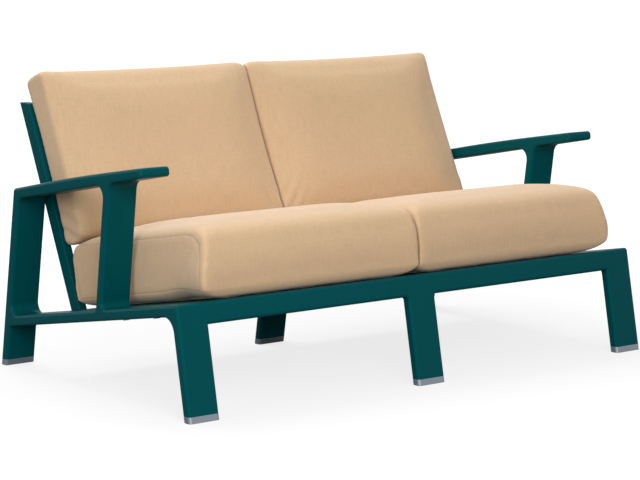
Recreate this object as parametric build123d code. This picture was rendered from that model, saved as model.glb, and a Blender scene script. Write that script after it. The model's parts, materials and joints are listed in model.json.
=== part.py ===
"""Outdoor two-seat lounge settee: flat-ribbon aluminium frame with four loose cushions.

Millimetres, +Z up, front towards -Y. Left and right are as seen from the front: left is -X.
The origin lies on the floor, under the middle of the overall box.
"""
import os
from math import cos, pi, radians, sin, tan

from build123d import *

os.makedirs("parts", exist_ok=True)

# Overall sizes
OVERALL_WIDTH = 1500.0
REAR_FOOT_BACK = 912.0  # rear face of the rear feet, behind the front edge of the front feet
FRONT_RAIL_TOP = 280.0  # height of the front rail's upper front edge
ARM_HEIGHT = 593.0  # top of the arm at its front end
ARM_SETBACK = 206.0  # arm's front end, behind the front edge of the front feet
BACK_TOP = 699.0  # top of the back uprights
CENTRE_FOOT_INSET = 210.0  # front face of the centre rear foot, ahead of the rear feet's rear face

# Angles, in degrees
QUARTER_TURN = 90.0
SEAT_TILT = 10.0  # seat plane and side rails fall towards the rear
FRONT_LEAN = 11.0  # front legs and front rail lean back going up
REAR_LEAN = 10.25  # rear legs reach back going down
ARM_TILT = 10.0  # arms climb towards the front
POST_LEAN = 8.4  # arm posts lean forward going up
BACK_LEAN = 25.0  # back uprights lean back

# Frame ribbons
MEMBER_WIDTH = 88.0
MEMBER_THICKNESS = 28.0
POST_THICKNESS = 26.0
ARM_REAR_THICKNESS = 29.0
ARM_FRONT_THICKNESS = 25.0
ARM_BOW = 5.0  # rise of the arm's top over the straight line between its ends
ARM_BOW_RADIUS = 9000.0
POST_SETBACK = 347.0  # post's front face, along the side rail from the front rail's top edge
FRONT_RAIL_FACE = 55.0  # height of the front rail's face, along the lean
WALL = 4.0  # casting and tube wall

# Rounding of the ribbons
EDGE_RADIUS = 8.0
OUTLINE_CORNER = 9.0
KNUCKLE_RADIUS = 40.0
WINDOW_REAR_RADIUS = 25.0
POST_TOP_RADIUS = 28.0
POST_FOOT_FRONT_RADIUS = 14.0
POST_FOOT_REAR_RADIUS = 12.0
RAIL_UNDER_RADIUS = 10.0
CENTRE_LEG_RADIUS = 7.0
FIT_MARGIN = 2.0  # a cut plane stands this far past the end of a rounding

# Foot caps
CAP_HEIGHT = 16.0
CAP_PLUG_DEPTH = 18.0
PLUG_CLEARANCE = 0.25

# Rear rail and back frame
REAR_RAIL_WALL = 3.0
UPRIGHT_WIDTH = 24.0
UPRIGHT_DEPTH = 42.0
UPRIGHT_WALL = 2.5
UPRIGHT_EDGE = 3.0
UPRIGHT_INSET = 314.0  # upright's front face at the rear rail's top, ahead of the rear feet
END_CAP_PLATE = 3.0
END_CAP_PLUG = 12.0
SIDE_GAP = 1.0  # upright and rear-rail trim clearance to the side frames

# Slats, bearers and bolts
SLAT_THICKNESS = 8.0
SLAT_EDGE = 2.0
SEAT_SLAT_WIDTH = 52.0
SEAT_SLATS = 6
BACK_SLAT_WIDTH = 46.0
BACK_SLATS = 5
SLAT_SIDE_GAP = 3.0  # first and last seat slat to the side rail and to the middle of the seat
BACK_SLAT_FIRST = 236.0  # lowest back slat's lower edge, up the uprights from the rear rail
BACK_SLAT_TOP_MARGIN = 6.0
BEARER_WIDTH = 32.0
FRONT_BEARER_SETBACK = 184.0  # bearer centre lines, along the seat plane
REAR_BEARER_SETBACK = 326.0
TENON_LENGTH = 46.0
TENON_SHOULDER = 5.0
TENON_CLEARANCE = 0.3
BOLT_SHANK = 8.0
BOLT_HEAD = 17.0
BOLT_HEAD_HEIGHT = 4.5
BOLT_CROWN = 1.2
BOLT_INSET = 28.0  # bolt axis, outboard of the side rail's inner face

# Cushions
CUSHION_SIDE_CLEARANCE = 5.0  # cushions to the side frames' inner faces
CUSHION_MIDDLE_GAP = 2.0
CUSHION_REST_CLEARANCE = 0.4
CORE_WRAP = 40.0  # fibre wrap and cover round the foam core
SEAT_FRONT_OVERHANG = 14.0  # seat cushion ahead of the front rail's top edge, along the seat plane
SEAT_PAST_RAIL = 8.0  # seat cushion past the uprights' foot, where their lean leaves room
SEAT_LOWER_SEAM = 23.0
SEAT_UPPER_SEAM = 168.0
SEAT_CROWN = 38.0
SEAT_CORNER = 14.0
SEAT_DRAW = 4.0
BACK_HEIGHT = 467.0
BACK_BASE = 180.2  # back cushion's lower rear corner, up the uprights from the rear rail
BACK_REAR_CROWN = 8.0
BACK_BOXING = 80.0
BACK_FRONT_CROWN = 36.0
BACK_CORNER = 12.0
BACK_DRAW = 5.0
BACK_HEEL_SLOPE = 7.0  # degrees by which the underside runs forward and down, off square

BIG = 3.0 * OVERALL_WIDTH
REACH_SHARE = 1.0  # a cutting outline runs this far past a line, as a share of its length


def unit(degrees_from_rear):
    """Direction in the side view, as (y, z), turned up from straight back."""
    return cos(radians(degrees_from_rear)), sin(radians(degrees_from_rear))


def step(point, direction, distance):
    return point[0] + direction[0] * distance, point[1] + direction[1] * distance


def meet(point, direction, other, other_direction):
    """Where two lines of the side view cross."""
    cross = direction[0] * other_direction[1] - direction[1] * other_direction[0]
    gap_y = other[0] - point[0]
    gap_z = other[1] - point[1]
    reach = (gap_y * other_direction[1] - gap_z * other_direction[0]) / cross
    return step(point, direction, reach)


# Places that follow the rear feet
CENTRE_REAR_FOOT = REAR_FOOT_BACK - CENTRE_FOOT_INSET
UPRIGHT_FRONT_AT_RAIL = REAR_FOOT_BACK - UPRIGHT_INSET  # along the seat plane

# Directions of the side view
ALONG_SEAT = unit(-SEAT_TILT)
OFF_SEAT = unit(QUARTER_TURN - SEAT_TILT)
UP_FRONT = unit(QUARTER_TURN - FRONT_LEAN)
THROUGH_FRONT = unit(-FRONT_LEAN)
UP_REAR = unit(QUARTER_TURN + REAR_LEAN)
THROUGH_REAR = unit(2 * QUARTER_TURN + REAR_LEAN)
ALONG_ARM = unit(-ARM_TILT)
OFF_ARM = unit(QUARTER_TURN - ARM_TILT)
UP_POST = unit(QUARTER_TURN + POST_LEAN)
THROUGH_POST = unit(POST_LEAN)
UP_BACK = unit(QUARTER_TURN - BACK_LEAN)
THROUGH_BACK = unit(-BACK_LEAN)

# Key points of the side view
FLOOR_FRONT = (0.0, 0.0)
RAIL_EDGE = (FRONT_RAIL_TOP * tan(radians(FRONT_LEAN)), FRONT_RAIL_TOP)
REAR_FOOT = (REAR_FOOT_BACK, 0.0)
ARM_END = (ARM_SETBACK, ARM_HEIGHT)
ARM_END_LOW = step(ARM_END, OFF_ARM, -ARM_FRONT_THICKNESS)
ARM_CORNER = meet(ARM_END, ALONG_ARM, REAR_FOOT, UP_REAR)
ARM_CORNER_LOW = step(ARM_CORNER, OFF_ARM, -ARM_REAR_THICKNESS)
ARM_MIDDLE = (
    (ARM_END[0] + ARM_CORNER[0]) / 2 + OFF_ARM[0] * ARM_BOW,
    (ARM_END[1] + ARM_CORNER[1]) / 2 + OFF_ARM[1] * ARM_BOW,
)
UNDER_ARM = (ARM_CORNER_LOW[0] - ARM_END_LOW[0], ARM_CORNER_LOW[1] - ARM_END_LOW[1])
LEG_BACK = step(FLOOR_FRONT, THROUGH_FRONT, MEMBER_THICKNESS)
REAR_LEG_FRONT = step(REAR_FOOT, THROUGH_REAR, MEMBER_THICKNESS)
RAIL_LOW = step(RAIL_EDGE, OFF_SEAT, -MEMBER_THICKNESS)
POST_FOOT = step(RAIL_EDGE, ALONG_SEAT, POST_SETBACK)
POST_BACK = step(POST_FOOT, THROUGH_POST, POST_THICKNESS)
KNUCKLE_INNER = meet(LEG_BACK, UP_FRONT, RAIL_LOW, ALONG_SEAT)
WINDOW_LOW_REAR = meet(RAIL_EDGE, ALONG_SEAT, REAR_LEG_FRONT, UP_REAR)
WINDOW_TOP_REAR = meet(REAR_LEG_FRONT, UP_REAR, ARM_END_LOW, UNDER_ARM)
WINDOW_TOP_FRONT = meet(POST_BACK, UP_POST, ARM_END_LOW, UNDER_ARM)
WINDOW_LOW_FRONT = meet(POST_BACK, UP_POST, RAIL_EDGE, ALONG_SEAT)

# Back uprights: their front face starts on the rear rail's top
REAR_RAIL_TOP = step(RAIL_EDGE, OFF_SEAT, -SLAT_THICKNESS)
BACK_ROOT = step(REAR_RAIL_TOP, ALONG_SEAT, UPRIGHT_FRONT_AT_RAIL)
BACK_HEEL = step(BACK_ROOT, THROUGH_BACK, UPRIGHT_DEPTH)
BACK_TOP_REAR = meet(BACK_HEEL, UP_BACK, (0.0, BACK_TOP), (1.0, 0.0))
OVERALL_DEPTH = BACK_TOP_REAR[0]
MIDDLE = OVERALL_DEPTH / 2

HALF = OVERALL_WIDTH / 2
INNER = HALF - MEMBER_WIDTH


def seat_point(along, off):
    return step(step(RAIL_EDGE, ALONG_SEAT, along), OFF_SEAT, off)


def back_point(up, forward):
    return step(step(BACK_ROOT, UP_BACK, up), THROUGH_BACK, -forward)


def prism(points, x_from, x_to):
    """A side-view outline carried across from x_from to x_to."""
    plane = Plane(origin=(x_from, 0, 0), x_dir=(0, 1, 0), z_dir=(1, 0, 0))
    placed = [(y - MIDDLE, z) for y, z in points]
    outline = plane * Polyline(*placed, close=True)
    return extrude(make_face(outline), amount=x_to - x_from, dir=(1, 0, 0))


def rounded_prism(points, radii, x_from, x_to):
    plane = Plane(origin=(x_from, 0, 0), x_dir=(0, 1, 0), z_dir=(1, 0, 0))
    placed = [(y - MIDDLE, z) for y, z in points]
    outline = plane * FilletPolyline(*placed, radius=radii, close=True)
    return extrude(make_face(outline), amount=x_to - x_from, dir=(1, 0, 0))


def half(shape, point, normal):
    """The part of a shape on the side of a cut that the side-view normal points to."""
    plane = Plane(origin=(0, point[0] - MIDDLE, point[1]), z_dir=(0, normal[0], normal[1]))
    return split(shape, bisect_by=plane, keep=Keep.TOP)


def back_of(direction):
    return -direction[0], -direction[1]


def bar_between(face_point, up, through, thickness, low, high, x_from, x_to):
    """A straight bar: one face through face_point, cut square at two distances up it."""
    a = step(face_point, up, low)
    b = step(face_point, up, high)
    c = step(b, through, thickness)
    d = step(a, through, thickness)
    return prism([a, b, c, d], x_from, x_to)


def soften(shape, axis_direction, radius):
    """Round the long edges of a bar that run along a side-view direction."""
    target = Vector(0, axis_direction[0], axis_direction[1])
    edges = [
        e
        for e in shape.edges()
        if e.geom_type == GeomType.LINE and abs((e % 0.5).dot(target)) > 0.999
    ]
    return fillet(edges, radius)


def write(name, *solids):
    """One sub-part: a single solid, or a group of equal solids."""
    pieces = []
    for item in solids:
        pieces.extend(item.solids())
    shape = pieces[0] if len(pieces) == 1 else Compound(children=pieces)
    shape.label = name
    export_step(shape, f"parts/{name}.step")


def mirrored(shape):
    return mirror(shape, about=Plane.YZ)


# Side frame, drawn as one ribbon outline with its window and then cut at the welds
UNDERRUN = CAP_HEIGHT + MEMBER_THICKNESS
side_outline = [
    step(FLOOR_FRONT, UP_FRONT, -UNDERRUN),
    RAIL_EDGE,
    POST_FOOT,
    meet(POST_FOOT, UP_POST, ARM_END_LOW, UNDER_ARM),
    ARM_END_LOW,
    ARM_END,
    ARM_MIDDLE,
    ARM_CORNER,
    step(REAR_FOOT, UP_REAR, -UNDERRUN),
    step(REAR_LEG_FRONT, UP_REAR, -UNDERRUN),
    meet(REAR_LEG_FRONT, UP_REAR, RAIL_LOW, ALONG_SEAT),
    KNUCKLE_INNER,
    step(LEG_BACK, UP_FRONT, -UNDERRUN),
]
side_radii = [
    OUTLINE_CORNER,
    OUTLINE_CORNER,
    POST_FOOT_FRONT_RADIUS,
    POST_TOP_RADIUS,
    OUTLINE_CORNER,
    OUTLINE_CORNER,
    ARM_BOW_RADIUS,
    OUTLINE_CORNER,
    OUTLINE_CORNER,
    OUTLINE_CORNER,
    RAIL_UNDER_RADIUS,
    KNUCKLE_RADIUS,
    OUTLINE_CORNER,
]
window_outline = [WINDOW_LOW_REAR, WINDOW_TOP_REAR, WINDOW_TOP_FRONT, WINDOW_LOW_FRONT]
window_radii = [
    WINDOW_REAR_RADIUS,
    WINDOW_REAR_RADIUS,
    POST_TOP_RADIUS,
    POST_FOOT_REAR_RADIUS,
]
side_frame = rounded_prism(side_outline, side_radii, -HALF, -INNER)
side_frame -= rounded_prism(window_outline, window_radii, -HALF - WALL, -INNER + WALL)
rims = side_frame.faces().sort_by(Axis.X)
side_frame = fillet(rims[0].edges() + rims[-1].edges(), EDGE_RADIUS)

# Weld planes of the side frame
LEG_CUT = step(KNUCKLE_INNER, UP_FRONT, -(KNUCKLE_RADIUS + FIT_MARGIN))
RAIL_CUT = step(KNUCKLE_INNER, ALONG_SEAT, KNUCKLE_RADIUS + FIT_MARGIN)
NUB = WINDOW_REAR_RADIUS + FIT_MARGIN
STUB_FACE = step(REAR_LEG_FRONT, THROUGH_REAR, NUB)
MITRE = (ARM_CORNER[0] - WINDOW_TOP_REAR[0], ARM_CORNER[1] - WINDOW_TOP_REAR[1])
BENEATH_ARM = step(ARM_END_LOW, OFF_ARM, -NUB)
knuckle_corner = meet(LEG_CUT, THROUGH_FRONT, RAIL_CUT, OFF_SEAT)
mitre_low = meet(ARM_CORNER, MITRE, BENEATH_ARM, UNDER_ARM)
mitre_stub = meet(ARM_CORNER, MITRE, STUB_FACE, UP_REAR)
under_rear = step(WINDOW_TOP_REAR, ALONG_ARM, -(NUB + MEMBER_THICKNESS))
under_rear_arm = meet(under_rear, OFF_ARM, ARM_END_LOW, UNDER_ARM)
under_rear_low = meet(under_rear, OFF_ARM, BENEATH_ARM, UNDER_ARM)
POST_FLARE = POST_TOP_RADIUS + FIT_MARGIN

leg_region = [
    step(LEG_CUT, THROUGH_FRONT, -OVERALL_DEPTH),
    step(LEG_CUT, THROUGH_FRONT, KNUCKLE_RADIUS),
    step(step(LEG_CUT, THROUGH_FRONT, KNUCKLE_RADIUS), UP_FRONT, -FRONT_RAIL_TOP * 2),
    step(step(LEG_CUT, THROUGH_FRONT, -OVERALL_DEPTH), UP_FRONT, -FRONT_RAIL_TOP * 2),
]
knuckle_region = [
    step(LEG_CUT, THROUGH_FRONT, -OVERALL_DEPTH),
    knuckle_corner,
    step(RAIL_CUT, OFF_SEAT, MEMBER_THICKNESS * 2),
    step(step(LEG_CUT, THROUGH_FRONT, -OVERALL_DEPTH), UP_FRONT, FRONT_RAIL_TOP),
]
rail_region = [
    step(RAIL_CUT, OFF_SEAT, -NUB),
    meet(STUB_FACE, UP_REAR, step(RAIL_LOW, OFF_SEAT, -NUB), ALONG_SEAT),
    meet(STUB_FACE, UP_REAR, RAIL_EDGE, ALONG_SEAT),
    meet(RAIL_CUT, OFF_SEAT, RAIL_EDGE, ALONG_SEAT),
]
post_region = [
    step(POST_FOOT, ALONG_SEAT, -POST_FLARE),
    step(POST_FOOT, ALONG_SEAT, POST_THICKNESS + POST_FLARE),
    meet(step(POST_BACK, THROUGH_POST, POST_FLARE), UP_POST, ARM_END_LOW, UNDER_ARM),
    meet(step(POST_FOOT, THROUGH_POST, -POST_FLARE), UP_POST, ARM_END_LOW, UNDER_ARM),
]
arm_region = [
    step(ARM_END_LOW, UNDER_ARM, -REACH_SHARE),
    under_rear_arm,
    under_rear_low,
    mitre_low,
    step(ARM_CORNER, MITRE, REACH_SHARE),
    (ARM_CORNER[0], ARM_HEIGHT * 2),
    (-OVERALL_DEPTH, ARM_HEIGHT * 2),
]
rear_region = [
    mitre_stub,
    step(ARM_CORNER, MITRE, REACH_SHARE),
    (OVERALL_DEPTH * 2, ARM_CORNER[1]),
    (OVERALL_DEPTH * 2, -OVERALL_DEPTH),
    step(STUB_FACE, UP_REAR, -OVERALL_DEPTH),
]


def member(region):
    return side_frame & prism(region, -BIG, BIG)


def hollow(face_point, up, through, thickness, low, high, wall):
    """The inside of a tube member of the left side frame."""
    inner_face = step(face_point, through, wall)
    return bar_between(
        inner_face, up, through, thickness - 2 * wall, low, high, -HALF + wall, -INNER - wall
    )


front_leg = member(leg_region)
front_leg -= hollow(
    FLOOR_FRONT, UP_FRONT, THROUGH_FRONT, MEMBER_THICKNESS, -UNDERRUN * 2, FRONT_RAIL_TOP, WALL
)
rail_cavity = [
    seat_point(0.0, -WALL),
    seat_point(REAR_FOOT_BACK, -WALL),
    seat_point(REAR_FOOT_BACK, -MEMBER_THICKNESS + WALL),
    seat_point(0.0, -MEMBER_THICKNESS + WALL),
]
side_rail = member(rail_region) - prism(rail_cavity, -HALF + WALL, -INNER - WALL)
post = member(post_region)
post -= hollow(POST_FOOT, UP_POST, THROUGH_POST, POST_THICKNESS, -ARM_HEIGHT, ARM_HEIGHT, WALL)
arm_cavity = [
    step(step(ARM_END, OFF_ARM, -WALL), ALONG_ARM, MEMBER_THICKNESS),
    step(step(ARM_CORNER, OFF_ARM, -WALL), ALONG_ARM, -MEMBER_THICKNESS * 2),
    step(step(ARM_CORNER_LOW, OFF_ARM, WALL), ALONG_ARM, -MEMBER_THICKNESS * 2),
    step(step(ARM_END_LOW, OFF_ARM, WALL), ALONG_ARM, MEMBER_THICKNESS),
]
arm = member(arm_region) - prism(arm_cavity, -HALF + WALL, -INNER - WALL)
rear_leg = member(rear_region)
rear_leg -= hollow(
    REAR_FOOT, UP_REAR, THROUGH_REAR, MEMBER_THICKNESS, -UNDERRUN * 2, ARM_CORNER[1] - MEMBER_WIDTH, WALL
)
knuckle = member(knuckle_region)

# Front rail with the centre leg below it, one flat ribbon cut at its welds
RAIL_RUN = INNER + MEMBER_WIDTH / 2
RAIL_FACE_LOW = step(RAIL_EDGE, UP_FRONT, -FRONT_RAIL_FACE)
face_plane = Plane(
    origin=(0, RAIL_FACE_LOW[0] - MIDDLE, RAIL_FACE_LOW[1]),
    x_dir=(1, 0, 0),
    z_dir=(0, -THROUGH_FRONT[0], -THROUGH_FRONT[1]),
)
half_leg = MEMBER_WIDTH / 2
ribbon_top = FRONT_RAIL_FACE + MEMBER_THICKNESS
ribbon_foot = -FRONT_RAIL_TOP - UNDERRUN
ribbon_points = [
    (-RAIL_RUN, ribbon_top),
    (-RAIL_RUN, 0.0),
    (-half_leg, 0.0),
    (-half_leg, ribbon_foot),
    (half_leg, ribbon_foot),
    (half_leg, 0.0),
    (RAIL_RUN, 0.0),
    (RAIL_RUN, ribbon_top),
]
ribbon_radii = [0.0, 0.0, CENTRE_LEG_RADIUS, 0.0, 0.0, CENTRE_LEG_RADIUS, 0.0, 0.0]
ribbon_line = face_plane * FilletPolyline(*ribbon_points, radius=ribbon_radii, close=True)
ribbon = extrude(make_face(ribbon_line), amount=-MEMBER_THICKNESS)
under_chain = []
for edge in ribbon.edges():
    centre = edge.center()
    spot = face_plane.to_local_coords(centre)
    flat_to_face = abs((edge % 0.5).dot(face_plane.z_dir)) < 0.01
    beneath = spot.Y < CENTRE_LEG_RADIUS and spot.Y > ribbon_foot + FIT_MARGIN
    if flat_to_face and beneath:
        under_chain.append(edge)
ribbon = fillet(under_chain, EDGE_RADIUS)
ribbon = half(ribbon, RAIL_EDGE, back_of(OFF_SEAT))
top_front = ribbon.edges().filter_by(Axis.X).sort_by(lambda e: e.center().Y - e.center().Z)[0]
ribbon = fillet(top_front, OUTLINE_CORNER)

box_inner = prism([(-BIG, -BIG), (BIG, -BIG), (BIG, BIG), (-BIG, BIG)], -INNER, INNER)
CENTRE_CUT = step(RAIL_FACE_LOW, UP_FRONT, -(CENTRE_LEG_RADIUS + EDGE_RADIUS))
front_rail = half(ribbon & box_inner, CENTRE_CUT, UP_FRONT)
centre_leg = half(ribbon, CENTRE_CUT, back_of(UP_FRONT))
box_outer = prism([(-BIG, -BIG), (BIG, -BIG), (BIG, BIG), (-BIG, BIG)], -HALF, -INNER)
knuckle = knuckle + (ribbon & box_outer)
front_rail -= bar_between(
    step(RAIL_FACE_LOW, THROUGH_FRONT, WALL),
    UP_FRONT,
    THROUGH_FRONT,
    MEMBER_THICKNESS - 2 * WALL,
    WALL,
    FRONT_RAIL_FACE - 2 * WALL,
    -INNER,
    INNER,
)
centre_leg -= bar_between(
    step(FLOOR_FRONT, THROUGH_FRONT, WALL),
    UP_FRONT,
    THROUGH_FRONT,
    MEMBER_THICKNESS - 2 * WALL,
    -UNDERRUN * 2,
    FRONT_RAIL_TOP,
    -half_leg + WALL,
    half_leg - WALL,
)

# Rear rail, a flat tube under the slats, and the centre rear leg below it
CENTRE_REAR_FRONT = (CENTRE_REAR_FOOT, 0.0)
REAR_RAIL_LOW = step(RAIL_EDGE, OFF_SEAT, -MEMBER_THICKNESS)
leg_top_front = meet(CENTRE_REAR_FRONT, UP_REAR, REAR_RAIL_LOW, ALONG_SEAT)
leg_top_at = (leg_top_front[0] - RAIL_EDGE[0]) * ALONG_SEAT[0] + (
    leg_top_front[1] - RAIL_EDGE[1]
) * ALONG_SEAT[1]
rear_from = leg_top_at + MEMBER_THICKNESS - MEMBER_WIDTH + FIT_MARGIN
rear_to = rear_from + MEMBER_WIDTH
rear_section = [
    seat_point(rear_from, -SLAT_THICKNESS),
    seat_point(rear_to, -SLAT_THICKNESS),
    seat_point(rear_to, -MEMBER_THICKNESS),
    seat_point(rear_from, -MEMBER_THICKNESS),
]
rear_radii = [0.0, UPRIGHT_EDGE, UPRIGHT_EDGE, UPRIGHT_EDGE]
rear_rail = rounded_prism(rear_section, rear_radii, -INNER, INNER)
rear_hollow = [
    seat_point(rear_from + REAR_RAIL_WALL, -SLAT_THICKNESS - REAR_RAIL_WALL),
    seat_point(rear_to - REAR_RAIL_WALL, -SLAT_THICKNESS - REAR_RAIL_WALL),
    seat_point(rear_to - REAR_RAIL_WALL, -MEMBER_THICKNESS + REAR_RAIL_WALL),
    seat_point(rear_from + REAR_RAIL_WALL, -MEMBER_THICKNESS + REAR_RAIL_WALL),
]
rear_rail -= prism(rear_hollow, -INNER, INNER)
centre_rear = bar_between(
    CENTRE_REAR_FRONT,
    UP_REAR,
    (-THROUGH_REAR[0], -THROUGH_REAR[1]),
    MEMBER_THICKNESS,
    -UNDERRUN,
    FRONT_RAIL_TOP,
    -half_leg,
    half_leg,
)
centre_rear = soften(centre_rear, UP_REAR, EDGE_RADIUS)
centre_rear = half(centre_rear, REAR_RAIL_LOW, back_of(OFF_SEAT))
centre_rear -= bar_between(
    step(CENTRE_REAR_FRONT, THROUGH_REAR, -WALL),
    UP_REAR,
    (-THROUGH_REAR[0], -THROUGH_REAR[1]),
    MEMBER_THICKNESS - 2 * WALL,
    -UNDERRUN * 2,
    FRONT_RAIL_TOP * 2,
    -half_leg + WALL,
    half_leg - WALL,
)


def cap_and_leg(leg, foot_point, up, through, x_from, x_to):
    """Cut a leg above its cap; the cap carries a plug that fills the tube's end."""
    upper = half(leg, (0.0, CAP_HEIGHT), (0.0, 1.0))
    outer = half(leg, (0.0, CAP_HEIGHT), (0.0, -1.0))
    outer = half(outer, (0.0, 0.0), (0.0, 1.0))
    inset = WALL + PLUG_CLEARANCE
    fill = bar_between(
        step(foot_point, through, WALL),
        up,
        through,
        MEMBER_THICKNESS - 2 * WALL,
        -UNDERRUN,
        UNDERRUN,
        x_from + WALL,
        x_to - WALL,
    )
    fill = half(half(fill, (0.0, CAP_HEIGHT), (0.0, -1.0)), (0.0, 0.0), (0.0, 1.0))
    plug = bar_between(
        step(foot_point, through, inset),
        up,
        through,
        MEMBER_THICKNESS - 2 * inset,
        0.0,
        CAP_HEIGHT + CAP_PLUG_DEPTH,
        x_from + inset,
        x_to - inset,
    )
    plug = half(plug, (0.0, CAP_HEIGHT / 2), (0.0, 1.0))
    return upper, outer + fill + plug


FORWARD_REAR = (-THROUGH_REAR[0], -THROUGH_REAR[1])
front_leg, front_cap = cap_and_leg(front_leg, FLOOR_FRONT, UP_FRONT, THROUGH_FRONT, -HALF, -INNER)
rear_leg, rear_cap = cap_and_leg(rear_leg, REAR_FOOT, UP_REAR, THROUGH_REAR, -HALF, -INNER)
centre_leg, centre_cap = cap_and_leg(
    centre_leg, FLOOR_FRONT, UP_FRONT, THROUGH_FRONT, -half_leg, half_leg
)
centre_rear, centre_rear_cap = cap_and_leg(
    centre_rear, CENTRE_REAR_FRONT, UP_REAR, FORWARD_REAR, -half_leg, half_leg
)

# Back uprights with their end caps
upright_points = [
    BACK_ROOT,
    meet(BACK_ROOT, UP_BACK, (0.0, BACK_TOP - END_CAP_PLATE), (1.0, 0.0)),
    meet(BACK_HEEL, UP_BACK, (0.0, BACK_TOP - END_CAP_PLATE), (1.0, 0.0)),
    meet(BACK_HEEL, UP_BACK, REAR_RAIL_TOP, ALONG_SEAT),
]
cap_points = [
    upright_points[1],
    meet(BACK_ROOT, UP_BACK, (0.0, BACK_TOP), (1.0, 0.0)),
    BACK_TOP_REAR,
    upright_points[2],
]


def upright_at(x_from):
    x_to = x_from + UPRIGHT_WIDTH
    body = prism(upright_points, x_from, x_to)
    body = soften(body, UP_BACK, UPRIGHT_EDGE)
    bore = bar_between(
        step(BACK_ROOT, THROUGH_BACK, UPRIGHT_WALL),
        UP_BACK,
        THROUGH_BACK,
        UPRIGHT_DEPTH - 2 * UPRIGHT_WALL,
        -BACK_TOP,
        BACK_TOP * 2,
        x_from + UPRIGHT_WALL,
        x_to - UPRIGHT_WALL,
    )
    body -= bore
    inset = UPRIGHT_WALL + PLUG_CLEARANCE
    plate = soften(prism(cap_points, x_from, x_to), UP_BACK, UPRIGHT_EDGE)
    plug = bar_between(
        step(BACK_ROOT, THROUGH_BACK, inset),
        UP_BACK,
        THROUGH_BACK,
        UPRIGHT_DEPTH - 2 * inset,
        0.0,
        BACK_TOP * 2,
        x_from + inset,
        x_to - inset,
    )
    plug = half(plug, (0.0, BACK_TOP - END_CAP_PLATE / 2), (0.0, -1.0))
    plug = half(plug, (0.0, BACK_TOP - END_CAP_PLATE - END_CAP_PLUG), (0.0, 1.0))
    return body, plate + plug


upright_left, upright_cap_left = upright_at(-INNER + SIDE_GAP)
upright_centre, upright_cap_centre = upright_at(-UPRIGHT_WIDTH / 2)
upright_right = mirrored(upright_left)
upright_cap_right = mirrored(upright_cap_left)

# Back slats, let in flush with the uprights' front faces
bay_from = -INNER + SIDE_GAP + UPRIGHT_WIDTH
bay_to = -UPRIGHT_WIDTH / 2
upright_length = (BACK_TOP - END_CAP_PLATE - BACK_ROOT[1]) / UP_BACK[1]
last_slat = upright_length - BACK_SLAT_WIDTH - BACK_SLAT_TOP_MARGIN
slat_pitch = (last_slat - BACK_SLAT_FIRST) / (BACK_SLATS - 1)
back_slats = []
for index in range(BACK_SLATS):
    low = BACK_SLAT_FIRST + slat_pitch * index
    slat = bar_between(
        BACK_ROOT, UP_BACK, THROUGH_BACK, SLAT_THICKNESS, low, low + BACK_SLAT_WIDTH, bay_from, bay_to
    )
    slat = fillet(slat.edges().filter_by(Axis.X), SLAT_EDGE)
    back_slats.append(slat)

BEARER_SETBACKS = (FRONT_BEARER_SETBACK, REAR_BEARER_SETBACK)
# Seat bearers, two flat bars tenoned into the side rails and bolted from below
bearers = []
for setback in BEARER_SETBACKS:
    low = setback - BEARER_WIDTH / 2
    high = setback + BEARER_WIDTH / 2
    body = prism(
        [
            seat_point(low, -SLAT_THICKNESS),
            seat_point(high, -SLAT_THICKNESS),
            seat_point(high, -MEMBER_THICKNESS),
            seat_point(low, -MEMBER_THICKNESS),
        ],
        -INNER,
        INNER,
    )
    body = fillet(body.edges().filter_by(Axis.X), SLAT_EDGE)
    tenon_low = low + TENON_SHOULDER
    tenon_high = high - TENON_SHOULDER
    tenon_top = -SLAT_THICKNESS - TENON_SHOULDER
    tenon_base = -MEMBER_THICKNESS + WALL
    tenon = prism(
        [
            seat_point(tenon_low, tenon_top),
            seat_point(tenon_high, tenon_top),
            seat_point(tenon_high, tenon_base),
            seat_point(tenon_low, tenon_base),
        ],
        -INNER - TENON_LENGTH,
        INNER + TENON_LENGTH,
    )
    body += tenon
    slot = prism(
        [
            seat_point(tenon_low - TENON_CLEARANCE, tenon_top + TENON_CLEARANCE),
            seat_point(tenon_high + TENON_CLEARANCE, tenon_top + TENON_CLEARANCE),
            seat_point(tenon_high + TENON_CLEARANCE, tenon_base),
            seat_point(tenon_low - TENON_CLEARANCE, tenon_base),
        ],
        -INNER - 2 * WALL,
        -INNER + WALL,
    )
    side_rail -= slot
    bearers.append(body)

bolts = []
bolt_x = -INNER - BOLT_INSET
for number, setback in enumerate(BEARER_SETBACKS):
    under = seat_point(setback, -MEMBER_THICKNESS)
    head_plane = Plane(
        origin=(bolt_x, under[0] - MIDDLE, under[1]),
        x_dir=(1, 0, 0),
        z_dir=(0, OFF_SEAT[0], OFF_SEAT[1]),
    )
    shank_length = MEMBER_THICKNESS - SLAT_THICKNESS - TENON_SHOULDER
    hole = extrude(head_plane * Circle(BOLT_SHANK / 2), amount=shank_length)
    head = extrude(head_plane * Circle(BOLT_HEAD / 2), amount=-BOLT_HEAD_HEIGHT)
    rim = head.edges().filter_by(GeomType.CIRCLE).sort_by(Axis.Z)[0]
    head = fillet(rim, BOLT_CROWN)
    bolts.append(hole + head)
    side_rail -= hole
    for sign in (1, -1):
        cut = hole if sign == 1 else mirrored(hole)
        bearers[number] -= cut

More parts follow.
